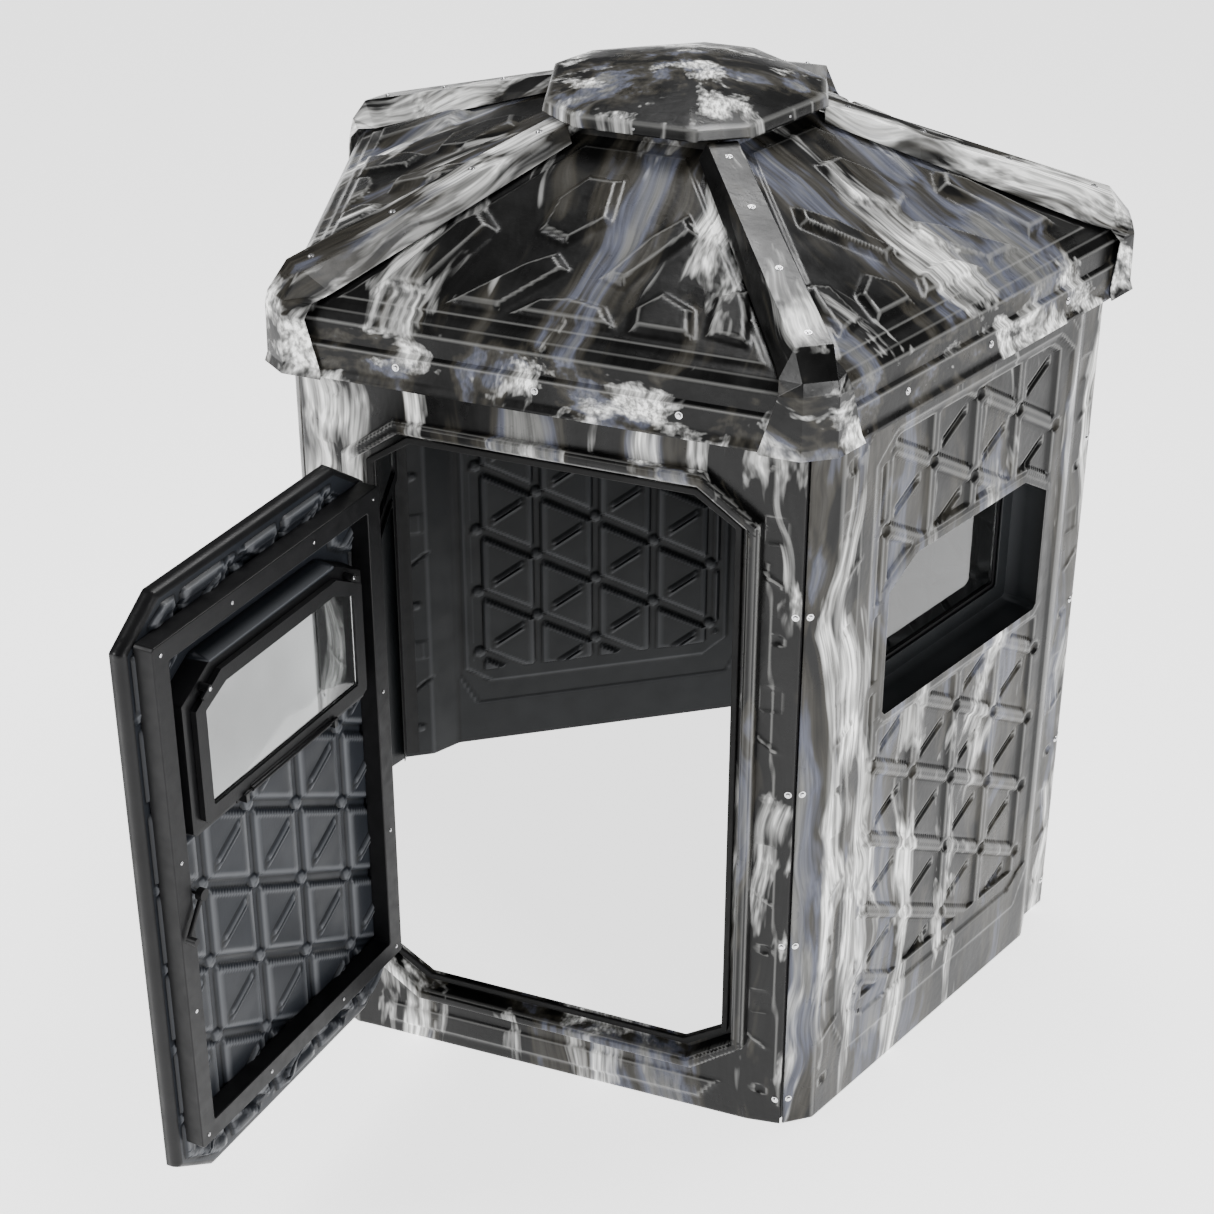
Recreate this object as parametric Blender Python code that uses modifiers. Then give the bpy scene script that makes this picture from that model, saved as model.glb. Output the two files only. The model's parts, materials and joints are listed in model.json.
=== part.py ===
"""Five-sided moulded hunting blind: five wall sheets, five roof sheets, hip covers, a cap,
a hinged door and tilting windows. Metres, +Z up, and the door wall faces -Y. Pieces are
modelled round the middle of the plan, then the whole blind is moved so that the origin is
on the ground under the middle of everything. The door stands open at rest."""
import math

import bmesh
import bpy
from mathutils import Matrix, Vector

# ---------------------------------------------------------------- driving dimensions
SIDES = 5
STEP = 2 * math.pi / SIDES              # angle from one wall to the next
HALF = STEP / 2                         # angle from a wall's middle to its corner
CORNER_RADIUS = 1.030                   # plan radius to a wall corner
APOTHEM = CORNER_RADIUS * math.cos(HALF)
HALF_SIDE = CORNER_RADIUS * math.sin(HALF)
SHEET = 0.005                           # thickness of every moulded sheet
SEAM = 0.005                            # a sheet's end stays this far from its mitre line
GAP = 0.0004                            # clearance between touching pieces
MOUNT_GAP = 0.0015                      # clearance of a piece fixed on a moulded sheet

WALL_TOP = 1.890
FIELD_OUT = 0.042                       # how far a wall's middle stands out
RAMP = 0.065                            # width of the ramp at a wall's left end

WINDOW_HALF = 0.335                     # half width of a window recess
WINDOW_LOW, WINDOW_HIGH = 1.060, 1.445  # a wall window's recess, bottom and top
WINDOW_CUT = (0.105, 0.060)             # chamfer at the top corners, across and down
WINDOW_DEPTH = 0.087                    # from the field to the land at the recess's inner end
WINDOW_TAPER, WINDOW_LAND = 0.006, 0.045
WINDOW_HOLE = WINDOW_TAPER + WINDOW_LAND
SASH_LAP = 0.025                        # how far a sash laps onto the land
SASH_BAR, SASH_DEPTH = 0.034, 0.014

DOOR_LEFT, DOOR_RIGHT = -0.420, 0.445   # the clear doorway
DOOR_LOW, DOOR_HIGH = 0.200, 1.675
DOOR_CUT = (0.105, 0.072)               # chamfers of the doorway
FLANGE = 0.030                          # width of the ledge that the door closes on
TRIM_WIDTH, TRIM_OUT = 0.038, 0.045     # raised trim round the doorway

HINGE_U, HINGE_OUT = -0.445, 0.052      # the door's hinge axis on the front wall
DOOR_OPEN = math.radians(96)            # how far the door stands open at rest
DOOR_S0, DOOR_S1 = 0.015, 0.900         # the door sheet, measured from its axis
DOOR_Z0, DOOR_Z1 = 0.190, 1.685
DOOR_FACE = 0.040                       # inner face of the door sheet, inwards of its axis
DOOR_LIP = 0.028                        # depth of the door's turned edge
DOOR_WINDOW_S, DOOR_WINDOW_LOW, DOOR_WINDOW_HIGH = 0.455, 1.110, 1.495
TUBE = 0.050                            # square tube of the door frame
FRAME_BOX = (0.040, 0.868, 0.330, 1.612)
DOOR_FIELD = DOOR_FACE - SHEET - 0.008  # the door's outer face, inwards of its axis
DOOR_SHEET_CUT, FRAME_CUT = (0.118, 0.083), (0.006, 0.006)
LATCH_S, LATCH_Z = 0.800, 0.985         # the latch spindle
LATCH_ARM = 0.100
LATCH_DROOP = math.radians(55)          # the arm hangs this far below level at rest

SKIRT_ROWS = ((0.898, 1.832), (0.888, 1.852), (0.885, 1.905), (0.873, 1.912), (0.869, 1.957))
SKIRT_END = 0.047                       # the skirt's low rows stop inside the hip cover's foot
EAVE_APOTHEM, EAVE_Z = 0.850, 1.978     # the outer edge of the sloping roof
CREST_APOTHEM, CREST_Z = 0.262, 2.238   # its inner edge, under the cap
UPSTAND = 0.022
ROOF_SLOPE = (CREST_Z - EAVE_Z) / (EAVE_APOTHEM - CREST_APOTHEM)
CAP_APOTHEM, CAP_TRUNCATION = 0.317, 0.083
CAP_LOW, CAP_BAND, CAP_CROWN = 2.271, 0.024, 0.059

WALLS = ("front", "right", "back_right", "back_left", "left")
CORNERS = ("front_right", "right_back", "back", "left_back", "front_left")

COLOURS = {
    "camo": ((0.10, 0.10, 0.09), 0.35, 0.0),
    "black_tube": ((0.015, 0.015, 0.016), 0.45, 0.6),
    "black_plastic": ((0.02, 0.02, 0.021), 0.5, 0.0),
    "tinted": ((0.20, 0.20, 0.20), 0.08, 0.0),
    "steel": ((0.55, 0.55, 0.56), 0.3, 1.0),
    "rubber": ((0.02, 0.02, 0.018), 0.75, 0.0),
}


# ---------------------------------------------------------------- making and placing
def clear_scene():
    for old in list(bpy.data.objects):
        bpy.data.objects.remove(old, do_unlink=True)


def collection(name):
    made = bpy.data.collections.new(name)
    bpy.context.scene.collection.children.link(made)
    return made


def finish_of(name, kind):
    """A material of the part's own, in one of the blind's finishes."""
    colour, roughness, metallic = COLOURS[kind]
    made = bpy.data.materials.new(name + "_" + kind)
    made.use_nodes = True
    shader = made.node_tree.nodes["Principled BSDF"]
    shader.inputs["Base Color"].default_value = (*colour, 1.0)
    shader.inputs["Roughness"].default_value = roughness
    shader.inputs["Metallic"].default_value = metallic
    return made


def pivot(name, place, turn=0.0, parent=None):
    """An empty on a joint's axis. Its children are modelled around it."""
    made = bpy.data.objects.new(name, None)
    BLIND.objects.link(made)
    made.location = place
    made.rotation_euler.z = turn
    made.parent = parent
    return made


def place_mesh(name, bm, kind, parent=None, turn=0.0, cutter=False):
    mesh = bpy.data.meshes.new(name)
    bm.to_mesh(mesh)
    bm.free()
    made = bpy.data.objects.new(name, mesh)
    made.parent = parent
    made.rotation_euler.z = turn
    if cutter:
        CUTTERS.objects.link(made)
        made.hide_render = True
        made.display_type = "WIRE"
    else:
        BLIND.objects.link(made)
        mesh.materials.append(finish_of(name, kind))
    return made


def thicken(piece, thickness=SHEET):
    solid = piece.modifiers.new("sheet", "SOLIDIFY")
    solid.thickness = thickness
    solid.offset = -1.0
    solid.use_even_offset = True
    return piece


def combine(piece, other, operation):
    step = piece.modifiers.new(operation.lower(), "BOOLEAN")
    step.object = other
    step.operation = operation
    step.solver = "EXACT"


def box_mesh(low, high):
    bm = bmesh.new()
    size = [h - l for l, h in zip(low, high)]
    middle = [(h + l) / 2 for l, h in zip(low, high)]
    bmesh.ops.create_cube(bm, size=1.0, matrix=Matrix.Translation(middle) @ Matrix.Diagonal((*size, 1.0)))
    return bm


def rod_mesh(start, end, radius, sides=12):
    start, end = Vector(start), Vector(end)
    along = end - start
    aim = along.to_track_quat("Z", "Y").to_matrix().to_4x4()
    bm = bmesh.new()
    bmesh.ops.create_cone(bm, cap_ends=True, segments=sides, radius1=radius, radius2=radius,
                          depth=along.length, matrix=Matrix.Translation((start + end) / 2) @ aim)
    return bm


def built_up(name, first, extras, kind, parent=None, turn=0.0, bores=()):
    """One body: the first mesh with the others united to it and the bores cut away."""
    made = place_mesh(name, first, kind, parent, turn)
    for number, extra in enumerate(extras):
        helper = place_mesh(f"{name}_add{number}", extra, kind, parent, turn, cutter=True)
        combine(made, helper, "UNION")
    for number, bore in enumerate(bores):
        helper = place_mesh(f"{name}_bore{number}", bore, kind, parent, turn, cutter=True)
        combine(made, helper, "DIFFERENCE")
    return made


# ---------------------------------------------------------------- outlines and lofts
def octagon(left, right, low, high, y, cut_low, cut_high):
    """A rectangle with its corners cut, anticlockwise as seen from outside."""
    (ul, zl), (uh, zh) = cut_low, cut_high
    flat = ((left + ul, low), (right - ul, low), (right, low + zl), (right, high - zh),
            (right - uh, high), (left + uh, high), (left, high - zh), (left, low + zl))
    return [(x, y, z) for x, z in flat]


def inset(loop, amount, y):
    """The same outline moved inwards by amount, at another depth."""
    left, low = loop[7][0], loop[0][2]
    right, high = loop[2][0], loop[4][2]
    lean = (2 - math.sqrt(2)) * amount  # what a 45 degree chamfer loses

    def shorter(across, up):
        return max(across - lean, 0.004), max(up - lean, 0.004)

    cut_low = shorter(loop[0][0] - left, loop[7][2] - low)
    cut_high = shorter(loop[5][0] - left, high - loop[6][2])
    return octagon(left + amount, right - amount, low + amount, high - amount, y, cut_low, cut_high)


def loft_rings(loops, close_round=False):
    """Quads between outlines that all have the same number of points."""
    bm = bmesh.new()
    rings = [[bm.verts.new(p) for p in loop] for loop in loops]
    pairs = list(zip(rings, rings[1:]))
    if close_round:
        pairs.append((rings[-1], rings[0]))
    count = len(loops[0])
    for outer, inner in pairs:
        for i in range(count):
            j = (i + 1) % count
            bm.faces.new((outer[i], outer[j], inner[j], inner[i]))
    return bm


def loft_rows(rows):
    """Quads between rows of points that run left to right, from the lowest row up."""
    bm = bmesh.new()
    lines = [[bm.verts.new(p) for p in row] for row in rows]
    for low, high in zip(lines, lines[1:]):
        for i in range(len(low) - 1):
            bm.faces.new((low[i], low[i + 1], high[i + 1], high[i]))
    return bm


def wall_mesh(profile, hole, rims):
    """A wall sheet: a plan profile drawn up the wall, with an opening and the rims inside it.

    profile: (u, out) points from left to right. hole: left, right, low, high, low cut, top cut.
    rims: (inset from the hole's edge, out) of each further outline."""
    left, right, low, high, cut_low, cut_high = hole

    def out_at(u):
        for (u0, o0), (u1, o1) in zip(profile, profile[1:]):
            if u0 <= u <= u1:
                return o0 + (o1 - o0) * (u - u0) / (u1 - u0)
        return 0.0

    columns = sorted({u for u, _ in profile}
                     | {left, left + cut_low[0], left + cut_high[0],
                        right, right - cut_low[0], right - cut_high[0]})
    rows = sorted({0.0, low, low + cut_low[1], high - cut_high[1], high, WALL_TOP})
    bm = bmesh.new()
    grid = {(u, z): bm.verts.new((u, -(APOTHEM + out_at(u)), z)) for u in columns for z in rows}
    edge = octagon(left, right, low, high, 0.0, cut_low, cut_high)
    corners = [(edge[7], edge[0], (left, low)), (edge[1], edge[2], (right, low)),
               (edge[3], edge[4], (right, high)), (edge[5], edge[6], (left, high))]
    for u0, u1 in zip(columns, columns[1:]):
        for z0, z1 in zip(rows, rows[1:]):
            if not (left <= u0 and u1 <= right and low <= z0 and z1 <= high):
                bm.faces.new((grid[u0, z0], grid[u1, z0], grid[u1, z1], grid[u0, z1]))
    for a, b, corner in corners:
        level, upright = (a, b) if a[2] == corner[1] else (b, a)
        between = [u for u in columns if min(corner[0], level[0]) < u < max(corner[0], level[0])]
        between.sort(key=lambda u: abs(u - corner[0]))
        points = [grid[corner], *(grid[u, corner[1]] for u in between),
                  grid[level[0], level[2]], grid[upright[0], upright[2]]]
        face = bm.faces.new(points)
        face.normal_update()
        if face.normal.y > 0:
            face.normal_flip()
    ring = [grid[p[0], p[2]] for p in edge]
    for step, (amount, out) in enumerate(rims):
        following = [bm.verts.new(p) for p in inset(edge, amount, -(APOTHEM + out))]
        for i in range(8):
            j = (i + 1) % 8
            (u0, _, z0), (u1, _, z1) = edge[i], edge[j]
            between = []
            if step == 0 and z0 == z1:
                between = [grid[u, z0] for u in columns if min(u0, u1) < u < max(u0, u1)]
                between.sort(key=lambda v: abs(v.co.x - u0))
            bm.faces.new((ring[i], *between, ring[j], following[j], following[i]))
        ring = following
    loose = [v for v in bm.verts if not v.link_faces]
    bmesh.ops.delete(bm, geom=loose, context="VERTS")
    return bm


# ---------------------------------------------------------------- walls and posts
SMALL_CUT = (0.012, 0.012)
SASH_CUT = (0.094, 0.054)               # the sash's top corners, parallel to the recess's
END_U = HALF_SIDE - SEAM


def build_walls():
    window_profile = ((-END_U, 0.0), (-END_U + RAMP, FIELD_OUT), (0.430, FIELD_OUT), (0.515, 0.0), (END_U, 0.0))
    window_hole = (-WINDOW_HALF, WINDOW_HALF, WINDOW_LOW, WINDOW_HIGH, SMALL_CUT, WINDOW_CUT)
    land = FIELD_OUT - WINDOW_DEPTH
    window_rims = ((WINDOW_TAPER, land), (WINDOW_HOLE, land))
    for number, side in enumerate(WALLS[1:], start=1):
        bm = wall_mesh(window_profile, window_hole, window_rims)
        thicken(place_mesh("wall_" + side, bm, "camo", turn=number * STEP))

    trim = FLANGE + TRIM_WIDTH
    door_profile = ((-END_U, 0.0), (-END_U + RAMP, 0.030), (-0.495, 0.028), (0.520, 0.012), (END_U, 0.0))
    cut = (DOOR_CUT[0] + 0.41 * trim, DOOR_CUT[1] + 0.41 * trim)
    door_hole = (DOOR_LEFT - trim, DOOR_RIGHT + trim, DOOR_LOW - trim, DOOR_HIGH + trim, cut, cut)
    door_rims = ((0.006, TRIM_OUT), (TRIM_WIDTH - 0.006, TRIM_OUT), (TRIM_WIDTH, 0.0), (trim, 0.0))
    thicken(place_mesh("wall_front", wall_mesh(door_profile, door_hole, door_rims), "camo"))


def build_corner_posts():
    """A bent steel strip up the inside of each corner, which the two walls bolt to."""
    leg, thick, low, high = 0.040, 0.003, 0.012, 1.860
    inside = (APOTHEM - SHEET - 0.0015) / math.cos(HALF)
    along = (math.cos(HALF), math.sin(HALF))
    for number, corner in enumerate(CORNERS):
        plan = [(-leg * along[0], -inside + leg * along[1]), (0.0, -inside), (leg * along[0], -inside + leg * along[1])]
        rows = [[(x, y, z) for x, y in plan] for z in (low, high)]
        post = place_mesh("corner_post_" + corner, loft_rows(rows), "black_tube", turn=HALF + number * STEP)
        thicken(post, thick)


# ---------------------------------------------------------------- roof
def roof_z(apothem):
    return EAVE_Z + (EAVE_APOTHEM - apothem) * ROOF_SLOPE


def build_roof_panels():
    profile = (*SKIRT_ROWS, (EAVE_APOTHEM, EAVE_Z), (CREST_APOTHEM, CREST_Z), (CREST_APOTHEM - 0.006, CREST_Z + UPSTAND))
    for number, side in enumerate(WALLS):
        rows = []
        for apothem, z in profile:
            half = apothem * math.tan(HALF) - (SKIRT_END if z < 1.910 else SEAM)
            rows.append([(-half, -apothem, z), (half, -apothem, z)])
        thicken(place_mesh("roof_panel_" + side, loft_rows(rows), "camo", turn=number * STEP))


def build_hip_covers():
    """A raised channel over each hip. Its foot wraps the corner of the skirt."""

    def on_skirt(across, apothem):
        corner = apothem / math.cos(HALF)
        return across * math.cos(HALF), -corner + across * math.sin(HALF)

    def row(foot, shoulder, foot_z, shoulder_z):
        (fx, fy), (sx, sy) = foot, shoulder
        return [(-fx, fy, foot_z), (-sx, sy, shoulder_z), (sx, sy, shoulder_z), (fx, fy, foot_z)]

    def foot_on_roof(width, radius):
        apothem = radius * math.cos(HALF) + width * math.sin(HALF)
        return (width, -radius), roof_z(apothem) + 0.0085

    eave_foot, eave_foot_z = foot_on_roof(0.066, 0.965)
    crest_foot, crest_foot_z = foot_on_roof(0.055, 0.336)
    rows = [row(on_skirt(0.150, 0.906), on_skirt(0.052, 0.906), 1.829, 1.829),
            row(on_skirt(0.138, 0.897), on_skirt(0.050, 0.899), 1.850, 1.850),
            row(on_skirt(0.102, 0.893), on_skirt(0.050, 0.897), 1.962, 1.970),
            row(on_skirt(0.092, 0.868), on_skirt(0.048, 0.890), 1.990, 1.998),
            row(eave_foot, (0.042, -1.020), eave_foot_z, 2.057),
            row(crest_foot, (0.036, -0.336), crest_foot_z, 2.266)]
    for number, corner in enumerate(CORNERS):
        cover = place_mesh("hip_cover_" + corner, loft_rows(rows), "camo", turn=HALF + number * STEP)
        thicken(cover, 0.004)


def build_cap():
    """A low dome on a five-sided rim with its corners cut."""

    def outline(share, roundness, z):
        corner = CAP_APOTHEM / math.cos(HALF)
        points = []
        for number in range(SIDES):
            angle = HALF + number * STEP
            for side in (-1, 1):
                x = side * CAP_TRUNCATION * math.cos(HALF)
                y = -corner + CAP_TRUNCATION * math.sin(HALF)
                around = angle + math.atan2(x, -y)
                reach = math.hypot(x, y) * (1 - roundness) + CAP_APOTHEM * roundness
                points.append((share * reach * math.sin(around), -share * reach * math.cos(around), z))
        return points

    band = CAP_LOW + CAP_BAND
    loops = [outline(1.0, 0.0, CAP_LOW), outline(0.985, 0.0, band)]
    for share in (0.86, 0.68, 0.46, 0.22):
        loops.append(outline(share, 1 - share, band + CAP_CROWN * (1 - share * share)))
    bm = loft_rings(loops)
    bm.verts.ensure_lookup_table()
    bm.faces.new(bm.verts[-10:])
    bmesh.ops.recalc_face_normals(bm, faces=bm.faces)
    thicken(place_mesh("roof_cap", bm, "camo"))


# ---------------------------------------------------------------- windows
def build_window(label, parent, back, recess_low, recess_high):
    """A sash that tilts inwards on a low hinge, its pane and the hinge strip.

    Modelled on the wall's own axes: x across from the window's middle, y inwards.
    back: y of the land's inner side. Returns the sash's half width and top."""
    half = WINDOW_HALF - WINDOW_HOLE + SASH_LAP
    sash_low = recess_low + WINDOW_HOLE - SASH_LAP
    sash_high = recess_high - WINDOW_HOLE + SASH_LAP
    near = back + 0.0020
    far = near + SASH_DEPTH
    axis = Vector((0.0, far + 0.004, sash_low + 0.002))
    hinge = pivot(label + "_pivot", axis, 0.0, parent)

    def around_axis(loop, y):
        return [(x - axis.x, y - axis.y, z - axis.z) for x, _, z in loop]

    outer = octagon(-half, half, sash_low, sash_high, near, SMALL_CUT, SASH_CUT)
    inner = inset(outer, SASH_BAR, near)
    ring = loft_rings([around_axis(outer, near), around_axis(inner, near),
                       around_axis(inner, far), around_axis(outer, far)], close_round=True)
    barrel = rod_mesh((-0.150, 0, 0), (0.150, 0, 0), 0.0055, 10)
    web = box_mesh((-0.150, -0.0050, -0.0015), (0.150, -0.0025, 0.012))
    bore = rod_mesh((-0.20, 0, 0), (0.20, 0, 0), 0.0029, 10)
    built_up(label + "_sash", ring, [barrel, web], "black_plastic", hinge, bores=[bore])

    glass = inset(outer, SASH_BAR + GAP * 2, near)
    bm = loft_rings([around_axis(glass, near + 0.004), around_axis(glass, near + 0.008)])
    bm.verts.ensure_lookup_table()
    bm.faces.new(bm.verts[0:8])
    bm.faces.new(bm.verts[8:16])
    bmesh.ops.recalc_face_normals(bm, faces=bm.faces)
    place_mesh(label + "_pane", bm, "tinted", hinge)

    strip = box_mesh((-0.185, back + MOUNT_GAP, axis.z - 0.022), (0.185, back + 0.0045, axis.z - 0.0085))
    pin = rod_mesh((-0.178, axis.y, axis.z), (0.178, axis.y, axis.z), 0.0024, 10)
    ears = []
    for x in (-0.170, 0.170):
        ears.append(box_mesh((x - 0.006, back + 0.002, axis.z - 0.020), (x + 0.006, axis.y + 0.003, axis.z - 0.0045)))
        ears.append(box_mesh((x - 0.006, axis.y - 0.003, axis.z - 0.0060), (x + 0.006, axis.y + 0.003, axis.z)))
        ears.append(rod_mesh((x - 0.006, axis.y, axis.z), (x + 0.006, axis.y, axis.z), 0.0035, 10))
    built_up(label + "_hinge", strip, [*ears, pin], "black_plastic", parent)
    return half, sash_high


def build_catch(label, parent, place, aim):
    """A turn button beside a sash. aim: where its ear points at rest, in the wall's x and z."""
    axis = pivot(label + "_pivot", place, 0.0, parent)
    hub = rod_mesh((0, 0, 0), (0, 0.024, 0), 0.009, 14)
    ear = box_mesh((-0.006, 0.0175, 0.0), (0.006, 0.0235, 0.027))
    swing = Matrix.Rotation(math.atan2(aim[0], aim[1]), 4, "Y")
    bmesh.ops.transform(ear, matrix=swing, verts=ear.verts)
    built_up(label, hub, [ear], "black_plastic", axis)


def build_wall_windows():
    for number, side in enumerate(WALLS[1:], start=1):
        wall_axes = pivot(f"window_{side}_wall", (0, 0, 0), number * STEP)
        back = -(APOTHEM + FIELD_OUT - WINDOW_DEPTH) + SHEET
        _, top = build_window("window_" + side, wall_axes, back, WINDOW_LOW, WINDOW_HIGH)
        build_catch(f"window_{side}_catch", wall_axes, (0.0, back + MOUNT_GAP, top + 0.0115), (1.0, 0.0))


# ---------------------------------------------------------------- door
def build_door():
    """The door, modelled closed around its axis and turned open by the pivot."""
    axis = pivot("door_pivot", (HINGE_U, -(APOTHEM + HINGE_OUT), 0.0), -DOOR_OPEN)
    face = DOOR_FACE - SHEET            # outer side of the flat sheet
    edge = octagon(DOOR_S0 + SHEET, DOOR_S1 - SHEET, DOOR_Z0 + SHEET, DOOR_Z1 - SHEET,
                   face - DOOR_LIP, DOOR_SHEET_CUT, DOOR_SHEET_CUT)
    window = octagon(DOOR_WINDOW_S - WINDOW_HALF, DOOR_WINDOW_S + WINDOW_HALF,
                     DOOR_WINDOW_LOW, DOOR_WINDOW_HIGH, DOOR_FIELD, SMALL_CUT, WINDOW_CUT)
    recess = DOOR_FACE + 0.040          # outer side of the window's land
    loops = [edge, inset(edge, 0.002, face - 0.006), inset(edge, 0.008, face), inset(edge, 0.045, face),
             inset(edge, 0.060, DOOR_FIELD), window, inset(window, WINDOW_TAPER, recess),
             inset(window, WINDOW_HOLE, recess)]
    shell = thicken(place_mesh("door_shell", loft_rings(loops), "camo", axis))
    bore = rod_mesh((LATCH_S, -0.1, LATCH_Z), (LATCH_S, 0.1, LATCH_Z), 0.0075)
    combine(shell, place_mesh("door_spindle_hole", bore, "camo", axis, cutter=True), "DIFFERENCE")

    near, far = DOOR_FACE + MOUNT_GAP, DOOR_FACE + TUBE
    outer = octagon(*FRAME_BOX, near, FRAME_CUT, FRAME_CUT)
    inner = inset(outer, TUBE, near)
    frame_loops = [outer, inner, inset(outer, TUBE, far), [(x, far, z) for x, _, z in outer]]
    place_mesh("door_frame", loft_rings(frame_loops, close_round=True), "black_tube", axis)

    window_axes = pivot("door_window_wall", (DOOR_WINDOW_S, 0, 0), 0.0, axis)
    back = recess + SHEET
    half, top = build_window("door_window", window_axes, back, DOOR_WINDOW_LOW, DOOR_WINDOW_HIGH)
    across, down = SASH_CUT
    slant = math.hypot(across, down)
    for side, sign in (("left", -1), ("right", 1)):
        x = half - across / 2 + 0.0115 * down / slant
        z = top - down / 2 + 0.0115 * across / slant
        aim = (sign * across / slant, -down / slant)
        build_catch("door_window_catch_" + side, window_axes, (sign * x, back + MOUNT_GAP, z), aim)
    build_latch(axis)
    build_door_hinges(axis)


def build_latch(axis):
    """Inner arm, outer lever and spindle, turning together."""
    turn_axis = pivot("latch_pivot", (LATCH_S, 0.0, LATCH_Z), 0.0, axis)
    arm_y = DOOR_FACE + TUBE + 0.004
    tip = Vector((LATCH_ARM * math.cos(LATCH_DROOP), 0.0, -LATCH_ARM * math.sin(LATCH_DROOP)))
    hub = rod_mesh((0, arm_y - 0.002, 0), (0, arm_y + 0.014, 0), 0.014, 16)
    arm = rod_mesh((0, arm_y + 0.006, 0), (tip.x, arm_y + 0.006, tip.z), 0.0055, 10)
    knob = rod_mesh((tip.x, arm_y + 0.004, tip.z), (tip.x, arm_y + 0.028, tip.z), 0.009, 12)
    built_up("latch_arm", hub, [arm, knob], "black_tube", turn_axis)
    spindle = rod_mesh((0, DOOR_FIELD - 0.0002, 0), (0, arm_y - 0.0024, 0), 0.0055, 12)
    place_mesh("latch_spindle", spindle, "steel", turn_axis)
    grip = box_mesh((-0.060, DOOR_FIELD - 0.040, -0.010), (0.012, DOOR_FIELD - 0.028, 0.010))
    stem = rod_mesh((0, DOOR_FIELD - 0.030, 0), (0, DOOR_FIELD - 0.0006, 0), 0.013, 16)
    built_up("latch_lever", grip, [stem], "black_plastic", turn_axis)


def build_door_hinges(axis):
    """Three hinges. The wall leaf carries two barrels and the pin, the door leaf the middle barrel."""
    barrel, pin = 0.0075, 0.0036
    x0, y0 = HINGE_U, -(APOTHEM + HINGE_OUT)
    wall_face = -(APOTHEM + TRIM_OUT)   # outer face of the trim
    for label, z in (("lower", 0.445), ("middle", 0.835), ("upper", 1.425)):
        leaf = box_mesh((x0 - 0.036, wall_face - 0.0038, z - 0.045), (x0 - 0.0115, wall_face - 0.0006, z + 0.045))
        webs = [box_mesh((x0 - 0.014, wall_face - 0.0098, za), (x0 - 0.002, wall_face - 0.0010, zb))
                for za, zb in ((z - 0.045, z - 0.0165), (z + 0.0165, z + 0.045))]
        barrels = [rod_mesh((x0, y0, za), (x0, y0, zb), barrel, 12)
                   for za, zb in ((z - 0.045, z - 0.0165), (z + 0.0165, z + 0.045))]
        rod = rod_mesh((x0, y0, z - 0.048), (x0, y0, z + 0.048), pin, 12)
        built_up("door_hinge_wall_" + label, leaf, [*webs, *barrels, rod], "black_tube")
        knuckle = rod_mesh((0, 0, z - 0.0155), (0, 0, z + 0.0155), barrel, 12)
        strap = box_mesh((0.004, -0.0015, z - 0.0155), (DOOR_S0 + 0.0105, 0.0020, z + 0.0155))
        plate = box_mesh((DOOR_S0 + 0.0076, -0.0015, z - 0.0155), (DOOR_S0 + 0.0105, 0.022, z + 0.0155))
        bore = rod_mesh((0, 0, z - 0.03), (0, 0, z + 0.03), pin + 0.0006, 12)
        built_up("door_hinge_leaf_" + label, knuckle, [strap, plate], "black_tube", axis, bores=[bore])


def build_doorway_fittings():
    """The rubber seal on the doorway's ledge and the plate that the latch arm bears on."""
    out, depth = MOUNT_GAP, 0.0100
    outer = octagon(DOOR_LEFT - 0.018, DOOR_RIGHT + 0.018, DOOR_LOW - 0.018, DOOR_HIGH + 0.018,
                    -(APOTHEM + out), DOOR_CUT, DOOR_CUT)
    near = [(x, -(APOTHEM + out + depth), z) for x, _, z in outer]
    inner_near = inset(near, 0.016, near[0][1])
    inner_far = inset(outer, 0.016, outer[0][1])
    place_mesh("doorway_seal", loft_rings([near, inner_near, inner_far, outer], close_round=True), "rubber")
    inside = -APOTHEM + SHEET
    plate = box_mesh((DOOR_RIGHT + 0.002, inside + MOUNT_GAP, LATCH_Z - 0.045),
                     (DOOR_RIGHT + 0.028, inside + 0.0365, LATCH_Z + 0.030))
    place_mesh("latch_strike", plate, "steel")


def stand_on_origin():
    """Moves the whole blind so that the origin is under the middle of everything."""
    bpy.context.view_layer.update()
    graph = bpy.context.evaluated_depsgraph_get()
    points = []
    for piece in BLIND.objects:
        if piece.type == "MESH":
            solid = piece.evaluated_get(graph)
            points += [solid.matrix_world @ vertex.co for vertex in solid.to_mesh().vertices]
            solid.to_mesh_clear()
    low = [min(point[axis] for point in points) for axis in range(3)]
    high = [max(point[axis] for point in points) for axis in range(3)]
    loose = [piece for piece in bpy.data.objects if piece.parent is None]
    stand = pivot("stand", (-(low[0] + high[0]) / 2, -(low[1] + high[1]) / 2, -low[2]))
    for piece in loose:
        piece.parent = stand


clear_scene()
BLIND = collection("ground_blind")
CUTTERS = collection("cutters")
build_walls()
build_corner_posts()
build_roof_panels()
build_hip_covers()
build_cap()
build_wall_windows()
build_doorway_fittings()
build_door()
stand_on_origin()
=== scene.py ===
"""Five-sided hard blind: moulded sheets with their relief, printed finish, fittings, fasteners,
light and camera. Each piece rides on the body of the node that it stands for."""
import json
import math

import bmesh
import bpy
import numpy as np
from mathutils import Matrix, Vector


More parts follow.
